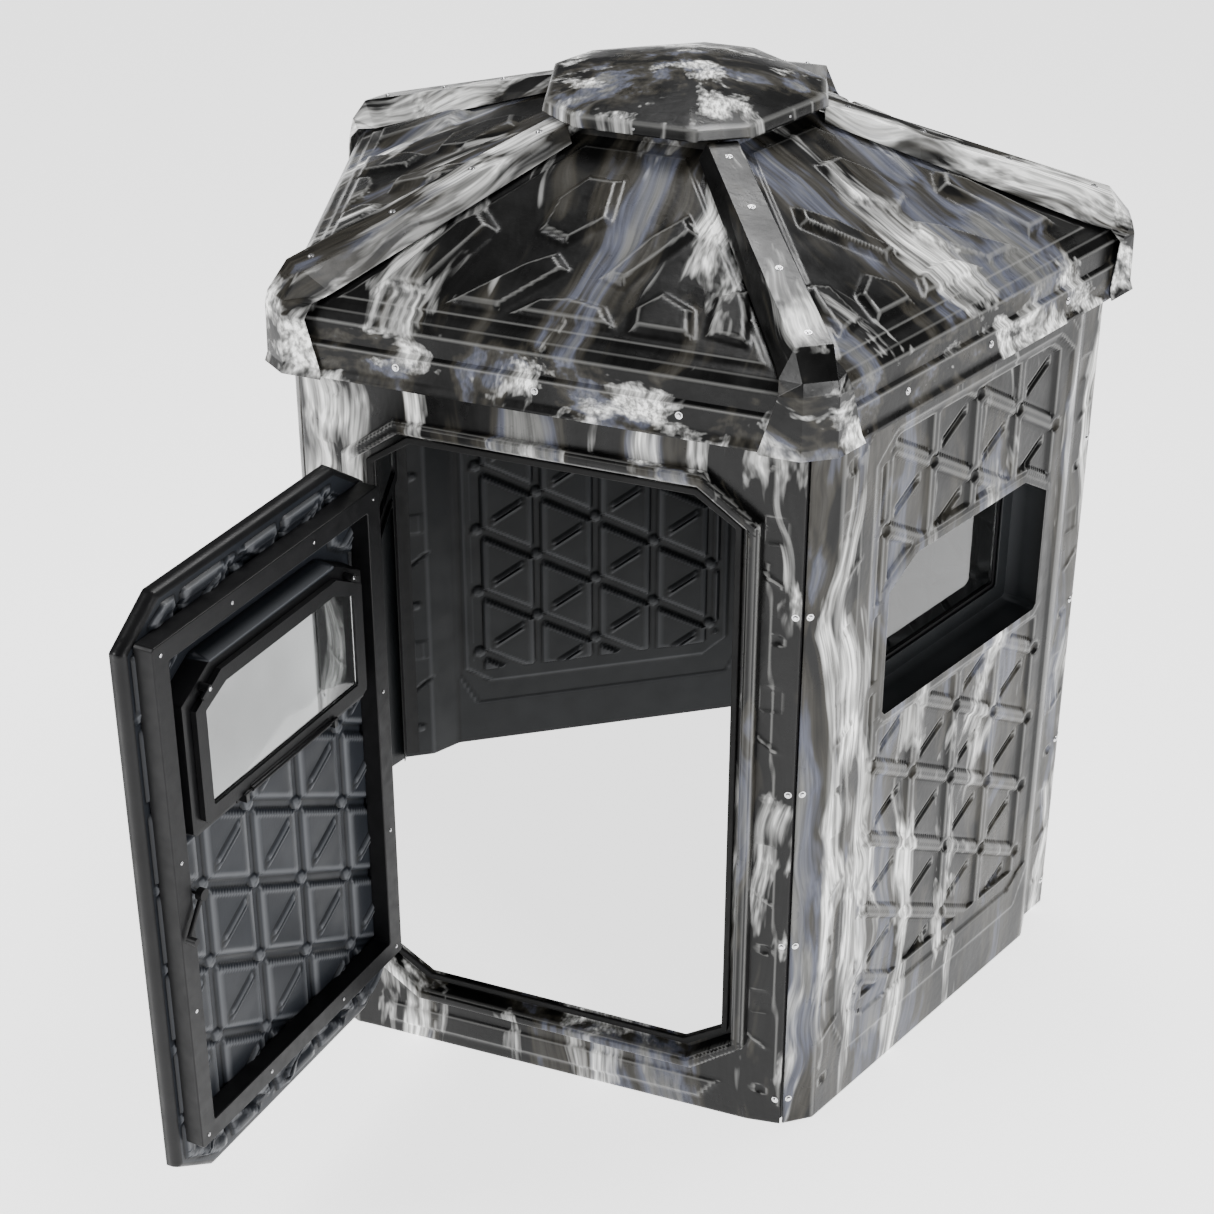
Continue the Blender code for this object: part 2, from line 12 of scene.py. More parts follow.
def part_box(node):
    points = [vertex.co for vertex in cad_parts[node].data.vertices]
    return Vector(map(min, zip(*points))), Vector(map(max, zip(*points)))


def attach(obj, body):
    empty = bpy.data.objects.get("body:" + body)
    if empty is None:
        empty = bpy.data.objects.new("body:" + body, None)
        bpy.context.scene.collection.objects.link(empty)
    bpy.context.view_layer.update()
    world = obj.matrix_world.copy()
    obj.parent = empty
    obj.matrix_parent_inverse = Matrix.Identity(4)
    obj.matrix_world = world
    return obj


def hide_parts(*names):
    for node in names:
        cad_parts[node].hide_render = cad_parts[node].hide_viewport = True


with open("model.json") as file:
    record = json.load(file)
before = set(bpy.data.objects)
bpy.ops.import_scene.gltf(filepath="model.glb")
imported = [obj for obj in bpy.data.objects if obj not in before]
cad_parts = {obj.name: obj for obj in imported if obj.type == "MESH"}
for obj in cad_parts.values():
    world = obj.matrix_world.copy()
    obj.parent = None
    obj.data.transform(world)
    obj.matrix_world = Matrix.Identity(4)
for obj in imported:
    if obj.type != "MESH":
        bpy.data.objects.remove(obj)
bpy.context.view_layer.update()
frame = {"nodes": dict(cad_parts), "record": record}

# ---------------------------------------------------------------- the blind's own sizes, in metres
SIDES = 5
STEP = 2 * math.pi / SIDES              # angle from one wall to the next
HALF = STEP / 2
CORNER_RADIUS = 1.030
APOTHEM = CORNER_RADIUS * math.cos(HALF)
SHEET = 0.005
SEAM = 0.005
END_U = CORNER_RADIUS * math.sin(HALF) - SEAM
WALL_TOP = 1.890
FIELD_OUT, RAMP = 0.042, 0.065
SKIRT_FRONT = 0.898                     # the front skirt's distance from the middle of the plan
PLAN_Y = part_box("roof_panel_front")[0][1] + SKIRT_FRONT

WINDOW_HALF, WINDOW_LOW, WINDOW_HIGH = 0.335, 1.060, 1.445
WINDOW_CUT, SMALL_CUT = (0.105, 0.060), (0.012, 0.012)
WINDOW_DEPTH, WINDOW_TAPER, WINDOW_HOLE = 0.087, 0.006, 0.051

DOOR_LEFT, DOOR_RIGHT, DOOR_LOW, DOOR_HIGH = -0.420, 0.445, 0.200, 1.675
DOOR_CUT = (0.105, 0.072)
FLANGE, TRIM_WIDTH, TRIM_OUT = 0.030, 0.038, 0.045
HINGE_U, HINGE_OUT, DOOR_OPEN = -0.445, 0.052, math.radians(96)
DOOR_S0, DOOR_S1, DOOR_Z0, DOOR_Z1 = 0.015, 0.900, 0.190, 1.685
DOOR_FACE, DOOR_LIP, DOOR_SHEET_CUT = 0.040, 0.028, (0.118, 0.083)
DOOR_FIELD = DOOR_FACE - SHEET - 0.008
TUBE = 0.050
DOOR_FRAME_LINES = (0.065, 0.843, 0.355, 1.587)     # middle lines of its tubes: left, right, low, high
DOOR_WINDOW_S, DOOR_WINDOW_LOW, DOOR_WINDOW_HIGH = 0.455, 1.110, 1.495
DOOR_RECESS = DOOR_FACE + 0.040

ROOF_PROFILE = ((0.898, 1.832), (0.888, 1.852), (0.885, 1.905), (0.873, 1.912), (0.869, 1.957),
                (0.850, 1.978), (0.262, 2.238), (0.256, 2.260))
SKIRT_END, EAVE_ROW = 0.047, 5
SKIRT_TOP = 1.910
(EAVE_OUT, EAVE_Z), (RIDGE_OUT, RIDGE_Z) = ROOF_PROFILE[EAVE_ROW], ROOF_PROFILE[EAVE_ROW + 1]
SLOPE_LENGTH = math.hypot(EAVE_OUT - RIDGE_OUT, RIDGE_Z - EAVE_Z)
SLOPE_ANGLE = math.atan2(RIDGE_Z - EAVE_Z, EAVE_OUT - RIDGE_OUT)
CAP_APOTHEM, CAP_TRUNCATION, CAP_LOW, CAP_BAND, CAP_TOP = 0.317, 0.083, 2.271, 0.024, 2.3505

# the triangular lattice pressed into the walls and the door
EDGE = 0.206
COLUMN = EDGE * math.sqrt(3) / 2
LATTICE_Z = 0.314
GRID_U, GRID_Z = COLUMN / 18, EDGE / 36
SLOPE_30 = math.tan(math.radians(30))
PAD_DEPTH, DIMPLE_DEPTH, RIB_DEPTH = 0.010, 0.009, 0.0065
FULL_PROUD = 0.0011                     # a point this far out of its neighbours counts as an edge
SMOOTH_TO = math.radians(38)

WALLS = ("front", "right", "back_right", "back_left", "left")
CORNERS = ("front_right", "right_back", "back", "left_back", "front_left")
RIB_SENSE = {"front": -1, "right": 1, "back_right": 1, "back_left": -1, "left": -1}


# ---------------------------------------------------------------- materials
def new_finish(name, colour, roughness, metallic=0.0):
    made = bpy.data.materials.new(name)
    made.use_nodes = True
    shader = made.node_tree.nodes["Principled BSDF"]
    shader.inputs["Base Color"].default_value = (*colour, 1.0)
    shader.inputs["Roughness"].default_value = roughness
    shader.inputs["Metallic"].default_value = metallic
    shader.inputs["Specular IOR Level"].default_value = 0.5 if metallic else 0.2
    return made, made.node_tree, shader


def node(tree, kind, **settings):
    made = tree.nodes.new(kind)
    for key, value in settings.items():
        setattr(made, key, value)
    return made


def noise(tree, vector, scale, detail=3.0, roughness=0.5):
    made = node(tree, "ShaderNodeTexNoise")
    made.inputs["Scale"].default_value = scale
    made.inputs["Detail"].default_value = detail
    made.inputs["Roughness"].default_value = roughness
    tree.links.new(vector, made.inputs["Vector"])
    return made.outputs["Fac"]


def mapped(tree, vector, scale=(1, 1, 1), turn=(0, 0, 0), shift=(0, 0, 0)):
    made = node(tree, "ShaderNodeMapping")
    made.inputs["Scale"].default_value = scale
    made.inputs["Rotation"].default_value = turn
    made.inputs["Location"].default_value = shift
    tree.links.new(vector, made.inputs["Vector"])
    return made.outputs["Vector"]


def grey(value):
    return (value,) * 3


def ramp(tree, value, stops):
    made = node(tree, "ShaderNodeValToRGB")
    band = made.color_ramp
    while len(band.elements) < len(stops):
        band.elements.new(0.5)
    for element, (place, colour) in zip(band.elements, stops):
        element.position = place
        element.color = (*colour, 1.0)
    tree.links.new(value, made.inputs["Fac"])
    return made.outputs["Color"]


def mix(tree, share, first, second, blend="MIX"):
    made = node(tree, "ShaderNodeMix", data_type="RGBA", blend_type=blend)
    first_colour, second_colour = made.inputs[6], made.inputs[7]
    for socket, value in ((made.inputs["Factor"], share), (first_colour, first), (second_colour, second)):
        if isinstance(value, bpy.types.NodeSocket):
            tree.links.new(value, socket)
        else:
            socket.default_value = value
    return made.outputs[2]


def bump(tree, height, shader, distance, strength=0.6):
    made = node(tree, "ShaderNodeBump")
    made.inputs["Distance"].default_value = distance
    made.inputs["Strength"].default_value = strength
    tree.links.new(height, made.inputs["Height"])
    tree.links.new(made.outputs["Normal"], shader.inputs["Normal"])


def object_place(tree):
    return node(tree, "ShaderNodeTexCoord").outputs["Object"]


def proud_share(tree):
    """How far the surface stands out from what is round it, as mark_proud stores it."""
    return node(tree, "ShaderNodeAttribute", attribute_name="proud").outputs["Fac"]


def printed_camouflage(name, turn, tilt=0.0, shift=0.0, pale_from=0.545):
    """Streaks that run down a wall, or down a roof slope when tilted to lie on it; raised edges get a painted
    highlight.
    """
    made, tree, shader = new_finish(name, (0.1, 0.1, 0.1), 0.3)
    on_sheet = mapped(tree, object_place(tree), turn=(0, 0, -turn), shift=(shift, shift, shift))
    if tilt:
        on_sheet = mapped(tree, on_sheet, turn=(math.pi / 2 - tilt, 0, 0))
    drift = node(tree, "ShaderNodeTexNoise")
    drift.inputs["Scale"].default_value = 2.3
    drift.inputs["Detail"].default_value = 2.0
    tree.links.new(mapped(tree, on_sheet, (1.0, 1.0, 0.8)), drift.inputs["Vector"])
    spread = node(tree, "ShaderNodeVectorMath", operation="MULTIPLY_ADD")
    spread.inputs[1].default_value = (0.26, 0.26, 0.0)
    tree.links.new(drift.outputs["Color"], spread.inputs[0])
    tree.links.new(on_sheet, spread.inputs[2])
    flow = spread.outputs[0]
    tone = noise(tree, mapped(tree, flow, (5.2, 6.5, 0.50)), 1.0, 4.0, 0.60)
    lights = noise(tree, mapped(tree, flow, (6.5, 9.0, 0.60), shift=(7, 3, 5)), 1.0, 4.0, 0.62)
    threads = noise(tree, mapped(tree, flow, (95.0, 60.0, 1.8)), 1.0, 2.0, 0.6)
    dark, olive, brown = grey(0.002), (0.022, 0.020, 0.016), (0.034, 0.032, 0.028)
    blue, stone = (0.070, 0.075, 0.100), (0.12, 0.12, 0.116)
    light, white = (0.36, 0.36, 0.35), (0.92, 0.92, 0.90)
    base = ramp(tree, tone, ((0.40, dark), (0.49, grey(0.004)), (0.525, olive), (0.56, brown),
                             (0.60, blue), (0.66, stone)))
    streak = ramp(tree, lights, ((pale_from, grey(0)), (pale_from + 0.05, grey(0.35)),
                                 (pale_from + 0.11, grey(1))))
    pale = ramp(tree, threads, ((0.35, light), (0.62, white)))
    colour = mix(tree, streak, base, pale)
    fine = ramp(tree, threads, ((0.32, grey(0.55)), (0.68, grey(1.45))))
    colour = mix(tree, 0.8, colour, fine, "MULTIPLY")
    # painted highlight: where the relief stands out, the print is mixed toward pale grey in place of glints
    # on its edges
    painted_highlight = ramp(tree, proud_share(tree), ((0.25, grey(0)), (1.0, grey(0.34))))
    colour = mix(tree, painted_highlight, colour, (0.34, 0.34, 0.33, 1.0))
    tree.links.new(colour, shader.inputs["Base Color"])
    worn = ramp(tree, noise(tree, on_sheet, 9.0, 4.0), ((0.35, grey(0.24)), (0.7, grey(0.42))))
    tree.links.new(worn, shader.inputs["Roughness"])
    bump(tree, noise(tree, on_sheet, 60.0, 3.0), shader, 0.0015, 0.35)
    shader.inputs["Specular IOR Level"].default_value = 0.22
    return made


def moulded_plastic(name, colour, roughness, grain=220.0, depth=0.0004, edge=0.0, mottle=0.25):
    """Plain moulded plastic: mottled and finely grained. With an edge share, what is raised on the inner
    side gets a painted highlight and what is sunk there gets a painted shade."""
    made, tree, shader = new_finish(name, colour, roughness)
    place = object_place(tree)
    cloud = ramp(tree, noise(tree, place, 5.0, 4.0), ((0.3, grey(1 - mottle)), (0.7, grey(1 + mottle))))
    shade = mix(tree, 1.0, (*colour, 1.0), cloud, "MULTIPLY")
    if edge:
        inner = node(tree, "ShaderNodeMath", operation="MULTIPLY_ADD")
        inner.inputs[1].default_value = -0.5
        inner.inputs[2].default_value = 0.5
        tree.links.new(proud_share(tree), inner.inputs[0])
        # painted shade: the hollows of the inner side are darkened
        painted_hollow_shade = ramp(tree, inner.outputs[0], ((0.0, grey(0.25)), (0.42, grey(1))))
        shade = mix(tree, 1.0, shade, painted_hollow_shade, "MULTIPLY")
        # painted highlight: raised parts of the inner side are mixed toward pale grey
        painted_highlight = ramp(tree, inner.outputs[0], ((0.58, grey(0)), (0.95, grey(edge))))
        shade = mix(tree, painted_highlight, shade, (0.30, 0.31, 0.33, 1.0))
    tree.links.new(shade, shader.inputs["Base Color"])
    gloss = ramp(tree, noise(tree, place, 14.0, 3.0), ((0.3, grey(roughness - 0.06)),
                                                       (0.7, grey(roughness + 0.08))))
    tree.links.new(gloss, shader.inputs["Roughness"])
    bump(tree, noise(tree, place, grain, 2.0), shader, depth)
    return made


def metal_finish(name, colour, roughness, metallic, grain=400.0):
    """Powder coat or zinc plate: an even colour with small changes of gloss."""
    made, tree, shader = new_finish(name, colour, roughness, metallic)
    place = object_place(tree)
    cloud = ramp(tree, noise(tree, place, 30.0, 3.0), ((0.3, grey(0.8)), (0.7, grey(1.2))))
    tree.links.new(mix(tree, 1.0, (*colour, 1.0), cloud, "MULTIPLY"), shader.inputs["Base Color"])
    gloss = ramp(tree, noise(tree, place, 40.0, 3.0), ((0.3, grey(roughness - 0.05)),
                                                       (0.7, grey(roughness + 0.08))))
    tree.links.new(gloss, shader.inputs["Roughness"])
    bump(tree, noise(tree, place, grain, 2.0), shader, 0.0002)
    return made


def tinted_sheet(name):
    made, tree, shader = new_finish(name, (0.50, 0.51, 0.51), 0.06)
    shader.inputs["Transmission Weight"].default_value = 1.0
    shader.inputs["IOR"].default_value = 1.49
    place = object_place(tree)
    haze = ramp(tree, noise(tree, place, 3.0, 2.0), ((0.3, (0.24, 0.245, 0.245)), (0.7, (0.32, 0.33, 0.33))))
    tree.links.new(haze, shader.inputs["Base Color"])
    dust = ramp(tree, noise(tree, place, 18.0, 4.0), ((0.35, grey(0.01)), (0.75, grey(0.05))))
    tree.links.new(dust, shader.inputs["Roughness"])
    return made


# the edge share sets the painted highlight on raised relief of the inner side and turns on its painted shade
# in hollows
inner_wall = moulded_plastic("inner_wall_charcoal", (0.010, 0.0112, 0.0125), 0.45, edge=0.10)
door_slate = moulded_plastic("door_slate", (0.013, 0.015, 0.019), 0.38, edge=0.22)
black_plastic = moulded_plastic("black_fitting_plastic", (0.004, 0.004, 0.0045), 0.42)
seal_rubber = moulded_plastic("door_seal_rubber", (0.005, 0.005, 0.005), 0.65)
powder_coat = metal_finish("black_powder_coat", (0.004, 0.004, 0.0045), 0.42, 0.0)
zinc = metal_finish("zinc_plate", (0.62, 0.62, 0.63), 0.24, 1.0)
pane = tinted_sheet("tinted_window_sheet")


# ---------------------------------------------------------------- outlines and relief
def octagon(left, right, low, high, cut_low, cut_high):
    (ul, zl), (uh, zh) = cut_low, cut_high
    return [(left + ul, low), (right - ul, low), (right, low + zl), (right, high - zh),
            (right - uh, high), (left + uh, high), (left, high - zh), (left, low + zl)]


def shrink(outline, amount):
    left, low, right, high = outline[7][0], outline[0][1], outline[2][0], outline[4][1]
    lean = (2 - math.sqrt(2)) * amount

    def shorter(across, up):
        return max(across - lean, 0.004), max(up - lean, 0.004)

    return octagon(left + amount, right - amount, low + amount, high - amount,
                   shorter(outline[0][0] - left, outline[7][1] - low),
                   shorter(outline[5][0] - left, high - outline[6][1]))


def depth_in(outline, u, z):
    """Distance inwards from a convex outline, below 0 outside it."""
    depth = np.full(np.shape(u), 10.0)
    for (u0, z0), (u1, z1) in zip(outline, outline[1:] + outline[:1]):
        along = math.hypot(u1 - u0, z1 - z0)
        depth = np.minimum(depth, ((u1 - u0) * (z - z0) - (z1 - z0) * (u - u0)) / along)
    return depth


def ease(value, low, high):
    share = np.clip((value - low) / (high - low), 0.0, 1.0)
    return share * share * (3 - 2 * share)


def ringed(rings, level, u, z):
    """The level of a sheet that steps from each outline to the next one inwards."""
    start = level
    for (outer, _), (inner, inner_level) in zip(rings, rings[1:]):
        a, b = depth_in(outer, u, z), depth_in(inner, u, z)
        share = np.clip(a / np.maximum(a - b, 1e-9), 0.0, 1.0)
        level = np.where(a >= -1e-7, start + (inner_level - start) * share, level)
        start = inner_level
    return level


def repeat(value, pitch):
    """Signed distance to the nearest multiple of the pitch."""
    return (value + pitch / 2) % pitch - pitch / 2


def lattice(u, z, sense):
    """Sunk pads between upright and slanting bands, a dimple where bands meet, a rib across each pad."""
    square_on = math.cos(math.radians(30))
    upright = np.abs(repeat(u, COLUMN))
    slant = np.abs(repeat(z - LATTICE_Z + sense * SLOPE_30 * u, EDGE)) * square_on
    pad = ease(upright, 0.0105, 0.0225) * ease(slant, 0.0100, 0.0210)
    column = np.round(u / COLUMN)
    lift = np.where(column % 2 == 0, 0.0, EDGE / 2)
    reach = np.hypot(u - column * COLUMN, repeat(z - LATTICE_Z - lift, EDGE))
    dimple = 1 - ease(reach, 0.009, 0.0200)
    across = np.abs(repeat(z - LATTICE_Z - sense * SLOPE_30 * u, EDGE)) * square_on
    along = np.abs(repeat(u - COLUMN / 2, COLUMN))
    rib = np.interp(across, (0.0, 0.00495, 0.0099, 0.01486), (0.40, 1.0, 0.55, 0.0))
    rib *= 1 - ease(along, 0.038, 0.049)
    return -PAD_DEPTH * pad - DIMPLE_DEPTH * dimple - RIB_DEPTH * rib * pad


def dimple_at(u, z, centre, radius, depth):
    return -depth * (1 - ease(np.hypot(u - centre[0], z - centre[1]), radius * 0.45, radius))


def short_rib(u, z, centre, length, degrees, height):
    turn = math.radians(degrees)
    du, dz = u - centre[0], z - centre[1]
    along = np.abs(du * math.cos(turn) + dz * math.sin(turn))
    across = np.abs(-du * math.sin(turn) + dz * math.cos(turn))
    return height * (1 - ease(across, 0.002, 0.0085)) * (1 - ease(along, length / 2 - 0.008, length / 2))


def block(u, z, corners, height, bevel):
    return height * np.clip(depth_in(corners, u, z) / bevel, 0.0, 1.0)


def strip_details(u, z, middle, sense):
    """Dimples, short ribs and shallow steps up the strip beside a corner."""
    level = np.zeros(np.shape(u))
    for row in range(4):
        low = 0.098 + 0.420 * row
        level += dimple_at(u, z, (middle, low), 0.0155, 0.006)
        level += short_rib(u, z, (middle + sense * 0.012, low + 0.150), 0.075, sense * 38, 0.004)
        left, right = middle - 0.030, middle + 0.018
        foot, head = low + 0.235, low + 0.300
        level += block(u, z, [(left, foot), (right, foot), (right, head), (left, head)], -0.0028, 0.006)
    return level


# ---------------------------------------------------------------- making the sheets
def flat_grid(left, right, low, high, sense=1):
    """A flat grid of triangles whose lines keep step with the lattice, split along its ribs."""

    def lines(start, end, pitch, anchor):
        first = math.ceil((start - anchor) / pitch + 0.35)
        last = math.floor((end - anchor) / pitch - 0.35)
        return np.array([start, *(anchor + pitch * np.arange(first, last + 1)), end])

    us, zs = lines(left, right, GRID_U, 0.0), lines(low, high, GRID_Z, LATTICE_Z)
    points = [(u, 0.0, z) for z in zs for u in us]
    wide = len(us)
    faces = []
    for j in range(len(zs) - 1):
        for i in range(wide - 1):
            a, b, c, d = j * wide + i, j * wide + i + 1, (j + 1) * wide + i + 1, (j + 1) * wide + i
            faces += [(a, b, c), (a, c, d)] if sense > 0 else [(a, b, d), (b, c, d)]
    mesh = bpy.data.meshes.new("grid")
    mesh.from_pydata(points, [], faces)
    bm = bmesh.new()
    bm.from_mesh(mesh)
    bpy.data.meshes.remove(mesh)
    return bm


def score(bm, outline):
    """Cuts the grid along an outline, so that the outline's edges are sharp."""
    margin = 0.012
    for (u0, z0), (u1, z1) in zip(outline, outline[1:] + outline[:1]):
        left, right = min(u0, u1) - margin, max(u0, u1) + margin
        low, high = min(z0, z1) - margin, max(z0, z1) + margin
        near = [v for v in bm.verts if left < v.co.x < right and low < v.co.z < high]
        faces = {f for v in near for f in v.link_faces}
        edges = {e for f in faces for e in f.edges}
        verts = {v for f in faces for v in f.verts}
        bmesh.ops.bisect_plane(bm, geom=[*verts, *edges, *faces], dist=1e-5,
                               plane_co=(u0, 0, z0), plane_no=(z1 - z0, 0, u0 - u1))


def face_depths(bm, outline):
    """Each face with its middle's depth inside the outline."""
    middles = [f.calc_center_median() for f in bm.faces]
    depth = depth_in(outline, np.array([m.x for m in middles]), np.array([m.z for m in middles]))
    return list(zip(bm.faces, depth))


def trim_away(bm, outline, outside):
    """Deletes the faces inside an outline, or outside it."""
    going = [f for f, depth in face_depths(bm, outline) if (depth < 0) == outside]
    bmesh.ops.delete(bm, geom=going, context="FACES")


def blacken(bm, outline):
    """Takes the faces inside an outline out of the print."""
    for face, depth in face_depths(bm, outline):
        if depth > 0:
            face.material_index = 1


def mark_proud(mesh):
    """Stores how far each point stands out from its neighbours, for the painted highlights on raised edges
    and the painted shade in hollows.
    """
    count = len(mesh.vertices)
    place = np.empty(count * 3)
    mesh.vertices.foreach_get("co", place)
    place = place.reshape(-1, 3)
    normal = np.empty(count * 3)
    mesh.vertex_normals.foreach_get("vector", normal)
    normal = normal.reshape(-1, 3)
    ends = np.empty(len(mesh.edges) * 2, dtype=np.int64)
    mesh.edges.foreach_get("vertices", ends)
    ends = ends.reshape(-1, 2)
    total, links = np.zeros_like(place), np.zeros(count)
    for a, b in ((0, 1), (1, 0)):
        np.add.at(total, ends[:, a], place[ends[:, b]])
        np.add.at(links, ends[:, a], 1)
    away = place - total / np.maximum(links, 1)[:, None]
    proud = np.clip((away * normal).sum(axis=1) / FULL_PROUD, -1.0, 1.0)
    stored = mesh.attributes.new("proud", "FLOAT", "POINT")
    stored.data.foreach_set("value", proud.astype(np.float32))


def node_body(name):
    return next(body for body, nodes in frame["record"]["behaviour"]["bodies"].items() if name in nodes)


def stand_for(piece, name):
    """The piece takes the place of a node of the frame, with its body."""
    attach(piece, node_body(name))
    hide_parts(name)


def link_object(name, data):
    made = bpy.data.objects.new(name, data)
    bpy.context.scene.collection.objects.link(made)
    return made


def link_piece(name, mesh, materials):
    for material in materials:
        mesh.materials.append(material)
    return link_object(name, mesh)


def add_sheet_piece(name, mesh, outer, inner, rim=0, trim=None):
    """A sheet from its outer face: smooth, thickened inwards and painted on both sides. The inner
    side takes the material after the outer side's own."""
    mark_proud(mesh)
    piece = link_piece(name + "_sheet", mesh, (outer, inner, trim or inner, trim or inner))
    mesh.shade_smooth()
    mesh.set_sharp_from_angle(angle=SMOOTH_TO)
    solid = piece.modifiers.new("sheet", "SOLIDIFY")
    solid.thickness = SHEET
    solid.offset = -1.0
    solid.material_offset = 1
    solid.material_offset_rim = rim
    stand_for(piece, name)


def flat_sheet(name, bm, level_at, place):
    """Raises each grid point to its level and moves it to its place on the blind."""
    mesh = bpy.data.meshes.new(name + "_sheet")
    loose = [v for v in bm.verts if not v.link_faces]
    bmesh.ops.delete(bm, geom=loose, context="VERTS")
    bm.to_mesh(mesh)
    bm.free()
    flat = np.empty(len(mesh.vertices) * 3)
    mesh.vertices.foreach_get("co", flat)
    flat = flat.reshape(-1, 3)
    u, z = flat[:, 0], flat[:, 2]
    mesh.vertices.foreach_set("co", np.column_stack(place(u, level_at(u, z), z)).ravel())
    mesh.update()
    return mesh


def plan_turned(x, y, turn):
    """A place in plan, measured from the middle of the walls and carried round to another side."""
    cos, sin = math.cos(turn), math.sin(turn)
    return x * cos - y * sin, x * sin + y * cos + PLAN_Y


def on_wall(number):
    """Place on a wall from across, out and up."""

    def place(u, out, z):
        return *plan_turned(u, -(APOTHEM + out), number * STEP), z

    return place


def profile_level(profile, u):
    return np.interp(u, [p[0] for p in profile], [p[1] for p in profile])


WINDOW_PROFILE = ((-END_U, 0.0), (-END_U + RAMP, FIELD_OUT), (0.430, FIELD_OUT), (0.515, 0.0), (END_U, 0.0))
DOOR_PROFILE = ((-END_U, 0.0), (-END_U + RAMP, 0.030), (-0.495, 0.028), (0.520, 0.012), (END_U, 0.0))
WINDOW_OUTLINE = octagon(-WINDOW_HALF, WINDOW_HALF, WINDOW_LOW, WINDOW_HIGH, SMALL_CUT, WINDOW_CUT)
FIELD_OUTER = octagon(-0.474, 0.424, 0.134, 1.846, (0.060, 0.110), (0.060, 0.070))
FIELD_INNER = octagon(-0.412, 0.400, 0.206, 1.790, (0.075, 0.052), (0.070, 0.060))
LATTICE_AREA = octagon(-0.385, 0.378, 0.250, 1.775, (0.030, 0.030), (0.060, 0.060))


def window_wall_level(sense):
    land = FIELD_OUT - WINDOW_DEPTH
    rings = [(WINDOW_OUTLINE, None), (shrink(WINDOW_OUTLINE, WINDOW_TAPER), land),
             (shrink(WINDOW_OUTLINE, WINDOW_HOLE), land)]

    def level_at(u, z):
        level = profile_level(WINDOW_PROFILE, u)
        near_window = depth_in(WINDOW_OUTLINE, u, z)
        level = level + 0.003 * ease(depth_in(FIELD_OUTER, u, z), -0.004, 0.004)
        level = level - 0.006 * ease(depth_in(FIELD_INNER, u, z), -0.004, 0.004)
        clear = ease(-near_window, 0.030, 0.042) * ease(depth_in(LATTICE_AREA, u, z), 0.0, 0.008)
        level = level + lattice(u, z, sense) * clear
        level = level + 0.003 * (1 - ease(-near_window, 0.018, 0.026))
        level = level + strip_details(u, z, -0.500, 1) + strip_details(u, z, 0.553, sense)
        for corner in (-0.500, 0.480):
            level = level + dimple_at(u, z, (corner, 1.762), 0.024, 0.007)
        return ringed(rings, level, u, z)

    return level_at, [outline for outline, _ in rings]


def doorway_wall_level():
    trim = FLANGE + TRIM_WIDTH
    cut = (DOOR_CUT[0] + 0.41 * trim, DOOR_CUT[1] + 0.41 * trim)
    edge = octagon(DOOR_LEFT - trim, DOOR_RIGHT + trim, DOOR_LOW - trim, DOOR_HIGH + trim, cut, cut)
    steps = ((0.0, None), (0.003, TRIM_OUT - 0.007), (0.009, TRIM_OUT - 0.001), (0.016, TRIM_OUT),
             (0.024, TRIM_OUT - 0.001), (0.031, TRIM_OUT - 0.007), (0.0355, 0.012), (TRIM_WIDTH, 0.0),
             (trim, 0.0))
    rings = [(shrink(edge, amount) if amount else edge, level) for amount, level in steps]

    def level_at(u, z):
        level = profile_level(DOOR_PROFILE, u)
        right = strip_details(u, z, 0.548, -1) + dimple_at(u, z, (0.512, 1.790), 0.022, 0.006)
        left = strip_details(u, z, -0.520, -1) + dimple_at(u, z, (-0.500, 1.790), 0.022, 0.006)
        crease = short_rib(u, z, (0.560, 0.800), 1.500, 92.5, 0.003)
        apron = block(u, z, [(-0.440, 0.030), (0.400, 0.030), (0.455, 0.100), (-0.440, 0.100)], 0.006, 0.010)
        return ringed(rings, level + right + left + crease + apron, u, z)

    return level_at, [outline for outline, _ in rings]


def make_walls():
    for number, side in enumerate(WALLS):
        bm = flat_grid(-END_U, END_U, 0.0, WALL_TOP, RIB_SENSE[side])
        level_at, outlines = doorway_wall_level() if number == 0 else window_wall_level(RIB_SENSE[side])
        for outline in outlines:
            score(bm, outline)
        trim_away(bm, outlines[-1], outside=False)
        if number:
            blacken(bm, WINDOW_OUTLINE)
        mesh = flat_sheet("wall_" + side, bm, level_at, on_wall(number))
        outer = printed_camouflage("wall_print_" + side, number * STEP, shift=0.37 * number)
        add_sheet_piece("wall_" + side, mesh, outer, inner_wall)


# ---------------------------------------------------------------- door
def on_door(s, y, z):
    """Place on the open door from the hinge axis outwards, inwards of it, and up."""
    cos, sin = math.cos(-DOOR_OPEN), math.sin(-DOOR_OPEN)
    return HINGE_U + s * cos - y * sin, -(APOTHEM + HINGE_OUT) + s * sin + y * cos + PLAN_Y, z


